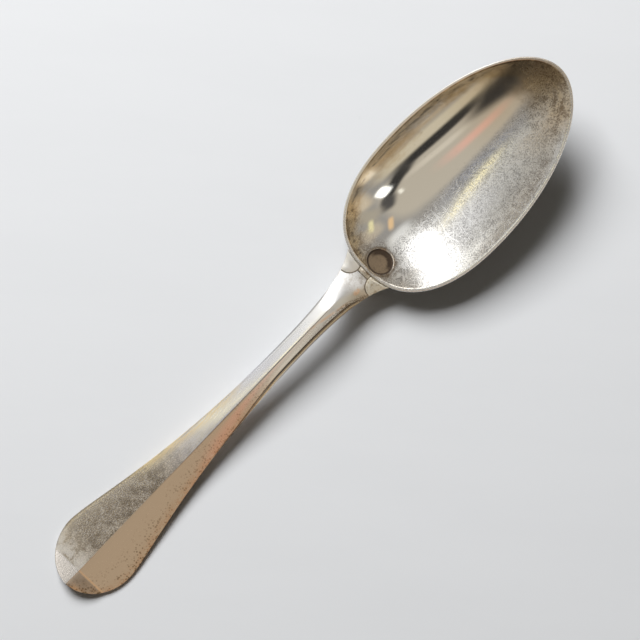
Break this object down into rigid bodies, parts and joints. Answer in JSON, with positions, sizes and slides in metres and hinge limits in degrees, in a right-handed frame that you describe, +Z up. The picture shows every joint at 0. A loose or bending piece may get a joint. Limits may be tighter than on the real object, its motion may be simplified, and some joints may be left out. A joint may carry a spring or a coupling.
{
  "type": "funeral spoon",
  "caption": "Wrought silver tablespoon with an egg-shaped raised bowl, a ridged handle with a rounded turned-up end, and a soldered neck with shoulder lobes and a heel drop.",
  "frame": {"origin": "middle of the spoon's length and width, on the table that it lies on", "axes": "+X along the spoon from the handle end to the tip of the bowl, +Y to the left as seen from the handle, +Z up, out of the bowl"},
  "size_m": [0.205, 0.0448, 0.0214],
  "materials": {
    "bowl_silver": "worn hand-polished silver with a scratched satin sheen, and brown tarnish by the rim and in the round recess",
    "handle_silver": "worn silver with fine scratches along the handle and warm tarnish on the edges",
    "heel_silver": "worn silver, duller and more tarnished, because it is on the back",
    "shoulder_silver": "bright rubbed silver with dark lines round it",
    "solder": "greyish-yellow hard solder, tarnished in the groove"
  },
  "bodies": {
    "root": {"bowl": "bowl_silver", "stem": "handle_silver", "heel_drop": "heel_silver", "left_shoulder": "shoulder_silver", "right_shoulder": "shoulder_silver", "neck_seam": "solder"}
  },
  "joints": []
}
